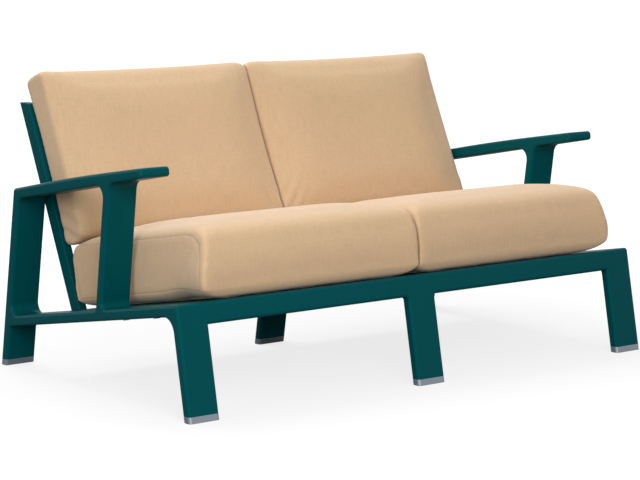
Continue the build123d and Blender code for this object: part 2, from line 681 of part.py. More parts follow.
# Seat slats, front to back, resting on the bearers and the rear rail
slat_room = INNER - 2 * SLAT_SIDE_GAP
slat_pitch_x = (slat_room - SEAT_SLAT_WIDTH) / (SEAT_SLATS - 1)
seat_slats = []
for index in range(SEAT_SLATS):
    x_from = -INNER + SLAT_SIDE_GAP + slat_pitch_x * index
    slat = prism(
        [
            seat_point(0.0, 0.0),
            seat_point(rear_to - FIT_MARGIN, 0.0),
            seat_point(rear_to - FIT_MARGIN, -SLAT_THICKNESS),
            seat_point(0.0, -SLAT_THICKNESS),
        ],
        x_from,
        x_from + SEAT_SLAT_WIDTH,
    )
    slat = half(slat, LEG_BACK, THROUGH_FRONT)
    slat = half(slat, BACK_ROOT, back_of(THROUGH_BACK))
    slat = soften(slat, ALONG_SEAT, SLAT_EDGE)
    seat_slats.append(slat)


# Cushions
def ring(plane, low_x, high_x, low_y, high_y, corner, draw):
    """A cushion's section: four sides drawn in between four round corners."""
    mid_x = (low_x + high_x) / 2
    mid_y = (low_y + high_y) / 2
    bite = corner * (1 - cos(pi / 4))
    near_x = low_x + corner
    far_x = high_x - corner
    near_y = low_y + corner
    far_y = high_y - corner
    pieces = [
        ThreePointArc((near_x, low_y), (mid_x, low_y + draw), (far_x, low_y)),
        ThreePointArc((far_x, low_y), (high_x - bite, low_y + bite), (high_x, near_y)),
        ThreePointArc((high_x, near_y), (high_x - draw, mid_y), (high_x, far_y)),
        ThreePointArc((high_x, far_y), (high_x - bite, high_y - bite), (far_x, high_y)),
        ThreePointArc((far_x, high_y), (mid_x, high_y - draw), (near_x, high_y)),
        ThreePointArc((near_x, high_y), (low_x + bite, high_y - bite), (low_x, far_y)),
        ThreePointArc((low_x, far_y), (low_x + draw, mid_y), (low_x, near_y)),
        ThreePointArc((low_x, near_y), (low_x + bite, low_y + bite), (near_x, low_y)),
    ]
    return plane * make_face(Curve() + pieces)


def spread(share, marks):
    """A height between the named marks: whole shares fall on the marks themselves."""
    index = min(int(share), len(marks) - 2)
    return marks[index] + (marks[index + 1] - marks[index]) * (share - index)


def cushion(base, width, depth, marks, panel_shares, corner, draw, heel=0.0):
    """Underside, boxing and top lofted one by one and sewn together at the two seams.

    Each level gives its height, its side, low and high insets as shares of half the span,
    and its corner's growth as a share of the corner radius.
    """
    body = None
    for levels in panel_shares:
        sections = []
        for height_share, side, low, high, growth in levels:
            height = spread(height_share, marks)
            reach = width / 2 * (1 - side)
            low_y = depth / 2 * low - height * heel
            high_y = depth - depth / 2 * high
            plane = base.offset(height)
            sections.append(ring(plane, -reach, reach, low_y, high_y, growth * corner, draw))
        panel = loft(sections)
        body = panel if body is None else body + panel
    return body


def core_block(base, width, depth, low, high):
    """The foam slab inside a cushion's cover and fibre wrap."""
    block = Box(width - 2 * CORE_WRAP, depth - 2 * CORE_WRAP, high - low)
    return base * Pos(0, depth / 2, (low + high) / 2) * block


CUSHION_WIDTH = (2 * INNER - 2 * CUSHION_SIDE_CLEARANCE - CUSHION_MIDDLE_GAP) / 2
CUSHION_X = -(CUSHION_WIDTH + CUSHION_MIDDLE_GAP) / 2
SEAT_DEPTH = SEAT_FRONT_OVERHANG + UPRIGHT_FRONT_AT_RAIL + SEAT_PAST_RAIL
seat_origin = seat_point(-SEAT_FRONT_OVERHANG, CUSHION_REST_CLEARANCE)
seat_plane = Plane(
    origin=(CUSHION_X, seat_origin[0] - MIDDLE, seat_origin[1]),
    x_dir=(1, 0, 0),
    z_dir=(0, OFF_SEAT[0], OFF_SEAT[1]),
)
SEAT_LOW_RING_SHARES = (1.0, 0.008, 0.025, 0.012, 1.0)
SEAT_HIGH_RING_SHARES = (2.0, 0.009, 0.045, 0.030, 1.2)
seat_panel_shares = [
    [(0.0, 0.120, 0.100, 0.100, 1.5), (0.45, 0.045, 0.055, 0.045, 1.2), SEAT_LOW_RING_SHARES],
    [
        SEAT_LOW_RING_SHARES,
        (1.4, 0.000, 0.000, 0.000, 0.9),
        (1.8, 0.001, 0.010, 0.006, 1.0),
        SEAT_HIGH_RING_SHARES,
    ],
    [
        SEAT_HIGH_RING_SHARES,
        (2.30, 0.035, 0.095, 0.110, 2.2),
        (2.65, 0.120, 0.215, 0.330, 4.0),
        (2.88, 0.255, 0.375, 0.530, 5.0),
        (3.00, 0.500, 0.600, 0.757, 5.0),
    ],
]
seat_marks = [0.0, SEAT_LOWER_SEAM, SEAT_UPPER_SEAM, SEAT_UPPER_SEAM + SEAT_CROWN]
seat_cushion = cushion(
    seat_plane, CUSHION_WIDTH, SEAT_DEPTH, seat_marks, seat_panel_shares, SEAT_CORNER, SEAT_DRAW
)
seat_core = core_block(seat_plane, CUSHION_WIDTH, SEAT_DEPTH, SEAT_LOWER_SEAM, SEAT_UPPER_SEAM)
seat_cushion -= seat_core

back_origin = back_point(BACK_BASE, CUSHION_REST_CLEARANCE)
back_plane = Plane(
    origin=(CUSHION_X, back_origin[0] - MIDDLE, back_origin[1]),
    x_dir=(1, 0, 0),
    z_dir=(0, -THROUGH_BACK[0], -THROUGH_BACK[1]),
)
BACK_FRONT_SEAM = BACK_REAR_CROWN + BACK_BOXING
BACK_REAR_RING_SHARES = (1.0, 0.003, 0.004, 0.004, 0.9)
BACK_FRONT_RING_SHARES = (2.0, 0.009, 0.040, 0.020, 1.4)
back_panel_shares = [
    [(0.0, 0.030, 0.050, 0.050, 1.0), (0.45, 0.010, 0.015, 0.015, 0.9), BACK_REAR_RING_SHARES],
    [BACK_REAR_RING_SHARES, (1.5, 0.000, 0.000, 0.000, 1.0), BACK_FRONT_RING_SHARES],
    [
        BACK_FRONT_RING_SHARES,
        (2.30, 0.045, 0.090, 0.070, 2.4),
        (2.65, 0.145, 0.190, 0.195, 4.0),
        (2.88, 0.280, 0.340, 0.380, 5.0),
        (3.00, 0.480, 0.580, 0.670, 5.0),
    ],
]
back_marks = [0.0, BACK_REAR_CROWN, BACK_FRONT_SEAM, BACK_FRONT_SEAM + BACK_FRONT_CROWN]
back_cushion = cushion(
    back_plane,
    CUSHION_WIDTH,
    BACK_HEIGHT,
    back_marks,
    back_panel_shares,
    BACK_CORNER,
    BACK_DRAW,
    tan(radians(BACK_HEEL_SLOPE)),
)
back_core = core_block(back_plane, CUSHION_WIDTH, BACK_HEIGHT, BACK_REAR_CROWN, BACK_FRONT_SEAM)
back_cushion -= back_core

write("left_front_leg", front_leg)
write("left_front_knuckle", knuckle)
write("left_side_rail", side_rail)
write("left_arm_post", post)
write("left_arm", arm)
write("left_rear_leg", rear_leg)
write("left_front_foot_cap", front_cap)
write("left_rear_foot_cap", rear_cap)
write("right_front_leg", mirrored(front_leg))
write("right_front_knuckle", mirrored(knuckle))
write("right_side_rail", mirrored(side_rail))
write("right_arm_post", mirrored(post))
write("right_arm", mirrored(arm))
write("right_rear_leg", mirrored(rear_leg))
write("right_front_foot_cap", mirrored(front_cap))
write("right_rear_foot_cap", mirrored(rear_cap))
write("front_rail", front_rail)
write("centre_front_leg", centre_leg)
write("centre_front_foot_cap", centre_cap)
write("rear_rail", rear_rail)
write("centre_rear_leg", centre_rear)
write("centre_rear_foot_cap", centre_rear_cap)
write("left_back_upright", upright_left)
write("centre_back_upright", upright_centre)
write("right_back_upright", upright_right)
write("upright_end_caps", upright_cap_left, upright_cap_centre, upright_cap_right)
write("left_back_slats", *back_slats)
write("right_back_slats", *[mirrored(s) for s in back_slats])
write("front_seat_bearer", bearers[0])
write("rear_seat_bearer", bearers[1])
write("bearer_bolts", *bolts, *[mirrored(b) for b in bolts])
write("left_seat_slats", *seat_slats)
write("right_seat_slats", *[mirrored(s) for s in seat_slats])
write("left_seat_cushion", seat_cushion)
write("right_seat_cushion", mirrored(seat_cushion))
write("left_seat_core", seat_core)
write("right_seat_core", mirrored(seat_core))
write("left_back_cushion", back_cushion)
write("right_back_cushion", mirrored(back_cushion))
write("left_back_core", back_core)
write("right_back_core", mirrored(back_core))
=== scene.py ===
# %% [markdown]
# # A garden loveseat in metal and cloth
# The settee is a welded frame of flat metal ribbons that carries four loose cushions.
# The frame comes ready made from the construction model, so this lesson dresses it: paint, bare
# metal feet, woven covers, and above all cushions that look stuffed and sewn.
# Everything is in metres, with the origin on the floor under the middle of the whole settee.

import json
import math

import bmesh
import bpy
import numpy as np
from mathutils import Matrix, Vector
from mathutils.bvhtree import BVHTree
from mathutils.kdtree import KDTree


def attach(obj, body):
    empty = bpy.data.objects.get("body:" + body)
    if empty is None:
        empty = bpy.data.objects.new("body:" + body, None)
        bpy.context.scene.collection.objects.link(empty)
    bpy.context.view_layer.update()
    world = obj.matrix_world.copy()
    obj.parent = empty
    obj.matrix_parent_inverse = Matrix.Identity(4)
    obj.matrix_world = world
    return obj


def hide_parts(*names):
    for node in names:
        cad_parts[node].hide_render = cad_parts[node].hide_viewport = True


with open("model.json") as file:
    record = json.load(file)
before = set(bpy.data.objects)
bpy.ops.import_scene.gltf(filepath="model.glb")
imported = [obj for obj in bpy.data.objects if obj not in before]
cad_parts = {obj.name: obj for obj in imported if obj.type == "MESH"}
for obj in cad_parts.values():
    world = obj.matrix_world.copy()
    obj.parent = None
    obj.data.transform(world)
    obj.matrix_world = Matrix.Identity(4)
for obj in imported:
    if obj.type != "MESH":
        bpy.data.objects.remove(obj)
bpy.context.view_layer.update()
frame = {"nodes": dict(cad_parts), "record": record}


def rounded(box):
    """A box's two corners to the millimetre, for printing."""
    return [[round(v, 3) for v in corner] for corner in box]


# %% [markdown]
# ## The camera
# The picture was taken from the front left, about twice as high as the arms, with a long lens.
# A long lens keeps parallel edges nearly parallel, as furniture pictures usually do.
# The eye's place and its turn are given as numbers, so the view never depends on a helper.

# %% Place the camera
PICTURE_WIDTH = 640
FOCAL_PIXELS = 2219.1
SENSOR = 36.0
SHIFT_X = -0.0009
SHIFT_Y = 0.0064
EYE = Vector((-3.6047, -4.7473, 1.1978))
TURN = math.radians(37.168)
TIP = math.radians(-8.479)
ROLL = math.radians(-0.135)

camera_data = bpy.data.cameras.new("eye")
camera_data.sensor_width = SENSOR
camera_data.lens = FOCAL_PIXELS / PICTURE_WIDTH * SENSOR
camera_data.shift_x = SHIFT_X
camera_data.shift_y = SHIFT_Y
camera = bpy.data.objects.new("eye", camera_data)
bpy.context.scene.collection.objects.link(camera)
turned = (
    Matrix.Rotation(-TURN, 4, "Z")
    @ Matrix.Rotation(math.pi / 2 + TIP, 4, "X")
    @ Matrix.Rotation(ROLL, 4, "Z")
)
camera.matrix_world = Matrix.Translation(EYE) @ turned
bpy.context.scene.camera = camera
print("lens", round(camera_data.lens, 1), "mm at", tuple(EYE))

# %% [markdown]
# ## Node groups: effects that several finishes share
# A powder coat has a fine pebbled skin, and so has moulded plastic and cast metal, so the pebble
# is one group. Cloth gets a group of its own: threads over and under each other, thick and thin
# yarns, and a slow drift of tone. Each group only gives out values that change over the surface.

# %% Helpers for building node trees
FLOAT = "NodeSocketFloat"
VECTOR = "NodeSocketVector"
MIX_FACTOR, MIX_FIRST, MIX_SECOND = 0, 6, 7
MIX_RESULT = 2


def add_node(tree, kind, place, **settings):
    """A new node at a place in the tree's drawing."""
    node = tree.nodes.new(kind)
    node.location = place
    for key, value in settings.items():
        setattr(node, key, value)
    return node


def feed(tree, value, socket):
    """Link another node's output to a socket, or write a plain value on it."""
    if hasattr(value, "is_output"):
        tree.links.new(value, socket)
    else:
        socket.default_value = value


def set_sockets(tree, node, **values):
    """Feed a node's inputs by name; From_Min stands for the socket named From Min."""
    for key, value in values.items():
        feed(tree, value, node.inputs[key.replace("_", " ")])


def math_node(tree, operation, place, first, second=None, clamp=False):
    """A Math node whose inputs are sockets or plain numbers."""
    node = add_node(tree, "ShaderNodeMath", place, operation=operation, use_clamp=clamp)
    feed(tree, first, node.inputs[0])
    if second is not None:
        feed(tree, second, node.inputs[1])
    return node.outputs[0]


def blend_colours(tree, place, factor, first, second, blend="MIX"):
    """A colour Mix node; its two colours are sockets or plain (red, green, blue)."""
    node = add_node(tree, "ShaderNodeMix", place, data_type="RGBA", blend_type=blend)
    feed(tree, factor, node.inputs[MIX_FACTOR])
    for number, colour in ((MIX_FIRST, first), (MIX_SECOND, second)):
        plain = not hasattr(colour, "is_output")
        feed(tree, (*colour, 1.0) if plain else colour, node.inputs[number])
    return node.outputs[MIX_RESULT]


def add_noise(tree, place, vector, **values):
    """A Noise texture read at a vector; it gives out a value from 0 to 1."""
    noise = add_node(tree, "ShaderNodeTexNoise", place)
    set_sockets(tree, noise, Vector=vector, **values)
    return noise.outputs["Fac"]


def add_bump(tree, place, strength, distance, height, **settings):
    """A Bump node; distance is how deep its relief is, in metres."""
    bump = add_node(tree, "ShaderNodeBump", place, **settings)
    set_sockets(tree, bump, Strength=strength, Distance=distance, Height=height)
    return bump


def smooth_ramp(tree, place, value, **ends):
    """A Map Range node that goes from one value to another without a corner."""
    ramp = add_node(tree, "ShaderNodeMapRange", place, interpolation_type="SMOOTHSTEP")
    set_sockets(tree, ramp, Value=value, **ends)
    return ramp.outputs[0]


def new_group(name, inputs, outputs):
    """A node group with inputs given as (name, kind, value) and float outputs by name."""
    group = bpy.data.node_groups.new(name, "ShaderNodeTree")
    for socket_name, kind, value in inputs:
        socket = group.interface.new_socket(name=socket_name, in_out="INPUT", socket_type=kind)
        if value is not None:
            socket.default_value = value
    for socket_name in outputs:
        group.interface.new_socket(name=socket_name, in_out="OUTPUT", socket_type=FLOAT)
    entry = add_node(group, "NodeGroupInput", (-900, 0))
    leave = add_node(group, "NodeGroupOutput", (900, 0))
    return group, entry, leave


# %% The pebbled skin of paint, castings and mouldings
CLOUDS_PER_METRE = 9.0
GLOSS_SHIFT = 0.25

pebble, pebble_in, pebble_out = new_group(
    "pebbled_skin",
    [("Grain size", FLOAT, 0.0012), ("Drift", FLOAT, 0.05), ("Roughness", FLOAT, 0.4)],
    ["Height", "Tone", "Roughness"],
)
where = add_node(pebble, "ShaderNodeTexCoord", (-900, -250)).outputs["Object"]
fineness = math_node(pebble, "DIVIDE", (-700, 120), 1.0, pebble_in.outputs["Grain size"])
grains = add_noise(pebble, (-480, 120), where, Scale=fineness, Detail=2.0)
clouds = add_noise(pebble, (-480, -250), where, Scale=CLOUDS_PER_METRE, Detail=4.0)
off_middle = math_node(pebble, "SUBTRACT", (-250, -250), clouds, 0.5)
drifted = math_node(pebble, "MULTIPLY", (-60, -250), off_middle, pebble_in.outputs["Drift"])
tone = math_node(pebble, "ADD", (150, -250), drifted, 1.0)
gloss = math_node(pebble, "MULTIPLY", (-60, -60), off_middle, GLOSS_SHIFT)
rough = math_node(pebble, "ADD", (150, -60), gloss, pebble_in.outputs["Roughness"], clamp=True)
set_sockets(pebble, pebble_out, Height=grains, Tone=tone, Roughness=rough)
print("group", pebble.name, "with", len(pebble.nodes), "nodes")

# %% The threads of the covers' plain weave
weave, weave_in, weave_out = new_group(
    "plain_weave",
    [
        ("Cloth place", VECTOR, None),
        ("Thread pitch", FLOAT, 0.0011),
        ("Yarn contrast", FLOAT, 0.1),
    ],
    ["Height", "Tone", "Slub"],
)
split = add_node(weave, "ShaderNodeSeparateXYZ", (-720, 260))
weave.links.new(weave_in.outputs["Cloth place"], split.inputs[0])
turns = math_node(weave, "DIVIDE", (-720, 60), math.pi, weave_in.outputs["Thread pitch"])
across = math_node(weave, "MULTIPLY", (-520, 320), split.outputs["X"], turns)
along = math_node(weave, "MULTIPLY", (-520, 180), split.outputs["Y"], turns)
across_wave = math_node(weave, "SINE", (-340, 320), across)
along_wave = math_node(weave, "SINE", (-340, 180), along)
warp = math_node(weave, "ABSOLUTE", (-160, 320), across_wave)
weft = math_node(weave, "ABSOLUTE", (-160, 180), along_wave)
checker = math_node(weave, "MULTIPLY", (0, 460), across_wave, along_wave)
over = math_node(weave, "GREATER_THAN", (160, 460), checker, 0.0)
difference = math_node(weave, "SUBTRACT", (160, 320), warp, weft)
lifted = math_node(weave, "MULTIPLY", (330, 380), difference, over)
height = math_node(weave, "ADD", (500, 320), weft, lifted)
set_sockets(weave, weave_out, Height=height)
print("group", weave.name, "with", len(weave.nodes), "nodes for its threads")

# %% [markdown]
# No yarn is even: it has thick and thin lengths, which take the light as fine streaks.
# Noise that is drawn out along the yarn gives them. Its scale is in waves per metre, across the
# cloth and along it, so 200 by 26 is a streak of about 5 mm by 40 mm.

# %% Thick and thin yarns
WARP_STRETCH = (200.0, 26.0, 1.0)
WEFT_STRETCH = (34.0, 240.0, 1.0)
DRIFT_STRETCH = (5.0, 4.0, 1.0)
WEFT_SHARE = 0.8
DRIFT_SHARE = 0.2


def yarn_streaks(place, stretch, seed):
    """Noise about zero, drawn out along one direction of the cloth."""
    x, y = place
    mapping = add_node(weave, "ShaderNodeMapping", place)
    cloth_spot = weave_in.outputs["Cloth place"]
    set_sockets(weave, mapping, Vector=cloth_spot, Location=(seed, seed, seed), Scale=stretch)
    drawn_out = mapping.outputs[0]
    noise = add_noise(weave, (x + 200, y), drawn_out, Scale=1.0, Detail=3.0, Roughness=0.6)
    return math_node(weave, "SUBTRACT", (x + 400, y), noise, 0.5)


warp_yarns = yarn_streaks((-720, -160), WARP_STRETCH, 3.0)
all_weft_yarns = yarn_streaks((-720, -420), WEFT_STRETCH, 11.0)
slow_drift = yarn_streaks((-720, -680), DRIFT_STRETCH, 23.0)
weft_yarns = math_node(weave, "MULTIPLY", (-250, -420), all_weft_yarns, WEFT_SHARE)
yarns = math_node(weave, "ADD", (-100, -260), warp_yarns, weft_yarns)
drifting = math_node(weave, "MULTIPLY", (-100, -560), slow_drift, DRIFT_SHARE)
both = math_node(weave, "ADD", (80, -380), yarns, drifting)
scaled = math_node(weave, "MULTIPLY", (260, -300), both, weave_in.outputs["Yarn contrast"])
yarn_tone = math_node(weave, "ADD", (440, -300), scaled, 1.0)
set_sockets(weave, weave_out, Tone=yarn_tone, Slub=yarns)
print("group", weave.name, "with", len(weave.nodes), "nodes in all")

# %% [markdown]
# ## Finishes
# The frame is powder coated in a deep blue green. The feet wear bare silver caps.
# The uprights end in plastic plugs of the same green, and the bolts are plain steel.
# The covers are an outdoor cloth of tan yarns. Constants sit on the shader's own sockets.

# %% Helpers for the finishes
PEBBLE_BUMP = 0.35


def new_finish(name, colour, roughness, **constants):
    """A material whose colour, roughness and other constants are plain shader values."""
    material = bpy.data.materials.new(name)
    material.use_nodes = True
    material.diffuse_color = (*colour, 1.0)
    tree = material.node_tree
    shader = tree.nodes["Principled BSDF"]
    set_sockets(tree, shader, Base_Color=(*colour, 1.0), Roughness=roughness, **constants)
    return material, tree, shader


def pebbled_finish(name, colour, roughness, grain, depth, drift, **constants):
    """A paint, casting or moulding with the pebbled skin in its tone, gloss and bump."""
    material, tree, shader = new_finish(name, colour, roughness, **constants)
    skin = add_node(tree, "ShaderNodeGroup", (-700, 0), node_tree=pebble)
    set_sockets(tree, skin, Grain_size=grain, Drift=drift, Roughness=roughness)
    toned = blend_colours(tree, (-350, 200), 1.0, colour, skin.outputs["Tone"], "MULTIPLY")
    bump = add_bump(tree, (-350, -250), PEBBLE_BUMP, depth, skin.outputs["Height"])
    rough_skin = skin.outputs["Roughness"]
    set_sockets(tree, shader, Base_Color=toned, Roughness=rough_skin, Normal=bump.outputs[0])
    return material


# %% Paint, silver, plastic, steel and foam
frame_paint = pebbled_finish(
    "deep_green_powder_coat",
    (0.0004, 0.068, 0.077),
    roughness=0.32,
    grain=0.0011,
    depth=0.00006,
    drift=0.10,
    Specular_IOR_Level=0.05,
    Specular_Tint=(0.04, 0.55, 0.60, 1.0),
    Coat_Weight=0.04,
    Coat_Roughness=0.12,
)
silver_cap = pebbled_finish(
    "silver_foot_cap",
    (0.27, 0.31, 0.36),
    roughness=0.42,
    grain=0.0008,
    depth=0.00005,
    drift=0.12,
    Metallic=0.65,
)
green_plastic = pebbled_finish(
    "green_end_plug",
    (0.004, 0.055, 0.062),
    roughness=0.55,
    grain=0.0009,
    depth=0.00005,
    drift=0.08,
    Specular_IOR_Level=0.35,
)
bolt_steel = pebbled_finish(
    "zinc_plated_bolt",
    (0.55, 0.55, 0.56),
    roughness=0.32,
    grain=0.0015,
    depth=0.00004,
    drift=0.10,
    Metallic=1.0,
)
cushion_foam = pebbled_finish(
    "cushion_foam",
    (0.80, 0.74, 0.58),
    roughness=0.95,
    grain=0.0018,
    depth=0.0006,
    drift=0.08,
    Specular_IOR_Level=0.1,
)
print("finishes:", [m.name for m in bpy.data.materials])

# %% [markdown]
# The cover's cloth reads two things from each cushion: a UV map in metres, so that threads run
# along each sewn panel, and a number at each point that says how far the nearest seam is.
# From that distance the shader presses a fine valley along the seam and paints shade into its
# bottom.

# %% Cover cloth
CLOTH_TAN = (0.675, 0.472, 0.290)
CLOTH_SHADE = (0.55, 0.36, 0.20)
# these two paint shade into each seam's valley: a dark brown, and how much of it is mixed into the
# cloth at the seam
SEAM_PAINTED_SHADE_COLOUR = (0.30, 0.18, 0.085)
SEAM_PAINTED_SHADE_SHARE = 0.07
SEAM_HALF_WIDTH = 0.005
SEAM_DEPTH = 0.0016
THREAD_PITCH = 0.0013
THREAD_DEPTH = 0.0003
YARN_CONTRAST = 0.54
SHADE_GAIN = 1.3
SHADE_MIDDLE = 0.35

cover_cloth, cloth_tree, cloth_shader = new_finish(
    "tan_cover_cloth",
    CLOTH_TAN,
    0.92,
    Specular_IOR_Level=0.10,
    Sheen_Weight=0.32,
    Sheen_Roughness=0.5,
)
cloth_place = add_node(cloth_tree, "ShaderNodeUVMap", (-1250, 100), uv_map="cloth").outputs[0]
cloth_weave = add_node(cloth_tree, "ShaderNodeGroup", (-1000, 100), node_tree=weave)
set_sockets(cloth_tree, cloth_weave, Cloth_place=cloth_place, Thread_pitch=THREAD_PITCH)
set_sockets(cloth_tree, cloth_weave, Yarn_contrast=YARN_CONTRAST)
seam_reach = add_node(
    cloth_tree, "ShaderNodeAttribute", (-1250, -250), attribute_name="seam_reach"
).outputs["Fac"]
near_seam = smooth_ramp(
    cloth_tree, (-1000, -250), seam_reach, From_Max=SEAM_HALF_WIDTH, To_Min=1.0, To_Max=0.0
)
slub = math_node(cloth_tree, "MULTIPLY", (-780, 380), cloth_weave.outputs["Slub"], SHADE_GAIN)
shade = math_node(cloth_tree, "ADD", (-620, 380), slub, SHADE_MIDDLE, clamp=True)
yarn_colour = blend_colours(cloth_tree, (-450, 380), shade, CLOTH_TAN, CLOTH_SHADE)
toned_cloth = blend_colours(
    cloth_tree, (-250, 300), 1.0, yarn_colour, cloth_weave.outputs["Tone"], "MULTIPLY"
)
# painted shade: the cloth is mixed towards dark brown along the bottom of each seam's valley
painted_seam_shade = math_node(cloth_tree, "MULTIPLY", (-620, -120), near_seam, SEAM_PAINTED_SHADE_SHARE)
cloth_with_painted_seam_shade = blend_colours(cloth_tree, (-50, 250), painted_seam_shade, toned_cloth, SEAM_PAINTED_SHADE_COLOUR)
seam_bump = add_bump(cloth_tree, (-450, -350), 0.7, SEAM_DEPTH, near_seam, invert=True)
thread_bump = add_bump(
    cloth_tree, (-200, -250), 0.35, THREAD_DEPTH, cloth_weave.outputs["Height"]
)
set_sockets(cloth_tree, thread_bump, Normal=seam_bump.outputs[0])
set_sockets(cloth_tree, cloth_shader, Base_Color=cloth_with_painted_seam_shade, Normal=thread_bump.outputs[0])
print("cloth nodes:", len(cloth_tree.nodes))

# %% [markdown]
# ## Dress the frame
# Each construction piece names a material slot in its record, so the finish follows the slot.
# Those pieces keep their shape; only their finish changes.

# %% Put a finish on every construction piece
FINISH_OF_SLOT = {
    "frame_paint": frame_paint,
    "foot_cap": silver_cap,
    "end_cap_plastic": green_plastic,
    "bolt_steel": bolt_steel,
    "cover_fabric": cover_cloth,
    "foam": cushion_foam,
}
slot_of_piece = {part["node"]: part["material_slot"] for part in frame["record"]["subparts"]}
for piece_name, piece in frame["nodes"].items():
    piece.data.materials.clear()
    piece.data.materials.append(FINISH_OF_SLOT[slot_of_piece[piece_name]])
print("dressed", len(slot_of_piece), "pieces")

# %% [markdown]
# ## Cushions
# A real cushion is a block of foam in a fibre wrap, pulled into a cover that is a little too
# small. So its faces crown, its sides draw in between the corners, and the seams bite.
# It could be sculpted by hand, but letting cloth swell under pressure gives the same tension.
# Each cushion starts from its construction shape, shrunk a little, and is blown up from inside
# while its seams are held. What the cloth does is then laid on the skin at rest as shallow
# folds, the panels are relaxed, and the whole is stretched to the room that the construction
# solid gives it, so it stays clear of the frame and of its neighbours.
# Each kind of cushion has its own directions: across the settee, along the cushion (rearwards
# on a seat, upwards on a back) and off its underside, or off the slats behind it.

# %% Where the cushions lie
SEAT_TILT = math.radians(10.0)
BACK_LEAN = math.radians(25.0)
CUSHION_HALF_WIDTH = 0.328
SEAT_DEPTH = 0.620
BACK_HEIGHT = 0.467
# the right-hand cushions' origins; the left-hand ones are mirrored
SEAT_ORIGIN = (0.329, -0.4272, 0.2828)
BACK_ORIGIN = (0.329, 0.2498, 0.3318)
# each side's name, and which way along X its cushions' outer sides face
SIDES = (("left", -1), ("right", 1))


class Lie:
    """Where a cushion lies: its origin, and its directions across, along and off."""

    def __init__(self, outer, origin, along, off):
        self.origin = np.array(Vector((outer * origin[0], *origin[1:])))
        self.axes = np.array([list(Vector(axis)) for axis in ((1.0, 0.0, 0.0), along, off)])

    def local(self, table):
        """World points as (across, along, off)."""
        return (table - self.origin) @ self.axes.T

    def world(self, table):
        return table @ self.axes + self.origin


def seat_lie(outer):
    along = (0.0, math.cos(SEAT_TILT), -math.sin(SEAT_TILT))
    off = (0.0, math.sin(SEAT_TILT), math.cos(SEAT_TILT))
    return Lie(outer, SEAT_ORIGIN, along, off)


def back_lie(outer):
    along = (0.0, math.sin(BACK_LEAN), math.cos(BACK_LEAN))
    off = (0.0, -math.cos(BACK_LEAN), math.sin(BACK_LEAN))
    return Lie(outer, BACK_ORIGIN, along, off)


# %% Read and write a mesh as one table of points
def points_of(mesh):
    table = np.empty(len(mesh.vertices) * 3)
    mesh.vertices.foreach_get("co", table)
    return table.reshape(-1, 3)


def normals_of(mesh):
    table = np.empty(len(mesh.vertices) * 3)
    mesh.vertices.foreach_get("normal", table)
    return table.reshape(-1, 3)


def set_points(mesh, table):
    mesh.vertices.foreach_set("co", table.ravel())
    mesh.update()


def bake_modifiers(piece):
    """Give the piece the mesh that its modifiers make, and drop the modifiers."""
    depsgraph = bpy.context.evaluated_depsgraph_get()
    shaped = bpy.data.meshes.new_from_object(piece.evaluated_get(depsgraph))
    piece.modifiers.clear()
    piece.data = shaped


seat_points = points_of(frame["nodes"]["left_seat_cushion"].data)
print("a seat cushion comes with", len(seat_points), "points")

# %% [markdown]
# A cushion's construction solid is a shell: an outer skin, and the pocket that holds its foam.
# Only the outer skin shows, so the pocket is dropped. The skin is then remeshed into small even
# faces, because cloth can only fold where it has points to bend at.

# %% The cover's outer skin
WELD = 0.00002
VOXEL = 0.0075


def islands_of(shell):
    """The separate skins of a mesh, each as a set of its points."""
    waiting = set(shell.verts)
    islands = []
    while waiting:
        island = {waiting.pop()}
        edge_of_growth = list(island)
        while edge_of_growth:
            vertex = edge_of_growth.pop()
            for link in vertex.link_edges:
                other = link.other_vert(vertex)
                if other in waiting:
                    waiting.remove(other)
                    island.add(other)
                    edge_of_growth.append(other)
        islands.append(island)
    return islands


def height_of(island):
    heights = [vertex.co.z for vertex in island]
    return max(heights) - min(heights)


def outer_skin(node_name, piece_name):
    """Copy a cushion's construction mesh, drop its inner pocket and remesh it evenly."""
    mesh = frame["nodes"][node_name].data.copy()
    shell = bmesh.new()
    shell.from_mesh(mesh)
    bmesh.ops.remove_doubles(shell, verts=shell.verts, dist=WELD)
    outer = max(islands_of(shell), key=height_of)
    inner = [vertex for vertex in shell.verts if vertex not in outer]
    bmesh.ops.delete(shell, geom=inner, context="VERTS")
    shell.to_mesh(mesh)
    shell.free()
    piece = bpy.data.objects.new(piece_name, mesh)
    bpy.context.scene.collection.objects.link(piece)
    remesh = piece.modifiers.new("even_mesh", "REMESH")
    remesh.mode = "VOXEL"
    remesh.voxel_size = VOXEL * 1.0
    ease = piece.modifiers.new("ease", "SMOOTH")
    ease.factor = 0.5
    ease.iterations = 2
    bake_modifiers(piece)
    return piece


print("skins of a seat cushion are remeshed at", VOXEL * 1000, "mm")

# %% [markdown]
# A seat cushion's cover wraps over the top, front and bottom, with a gusset sewn in at each side.
# A back cushion's rear panel is sewn on all round, just in front of the slats.
# A seam is a closed line of spots. The spots are dropped onto the skin, and each point of the
# skin then knows how far its nearest seam is.

# %% Seam lines
SEAM_STEP = 0.004
GUSSET_LOW = 0.023
GUSSET_HIGH = 0.168
GUSSET_REAR = SEAT_DEPTH - 0.012
BACK_SEAM = 0.008
BACK_HEEL = math.radians(7.0)


def loop_path(corners):
    """Spots along a closed line through the given corners."""
    path = []
    for start, end in zip(corners, corners[1:] + corners[:1]):
        start = np.array(start)
        end = np.array(end)
        count = max(int(np.linalg.norm(end - start) / SEAM_STEP), 1)
        for index in range(count):
            path.append(start + (end - start) * index / count)
    return path


def seat_seams():
    """Both gussets, each from its rear bottom corner over the top to the rounded front."""
    outline = [
        (GUSSET_REAR, GUSSET_LOW),
        (GUSSET_REAR, GUSSET_HIGH),
        (0.090, GUSSET_HIGH),
        (0.052, GUSSET_HIGH - 0.010),
        (0.030, GUSSET_HIGH - 0.032),
        (0.020, GUSSET_HIGH - 0.070),
        (0.018, GUSSET_LOW + 0.030),
        (0.030, GUSSET_LOW),
    ]
    reach = CUSHION_HALF_WIDTH + 0.01
    return [loop_path([(x, along, off) for along, off in outline]) for x in (-reach, reach)]


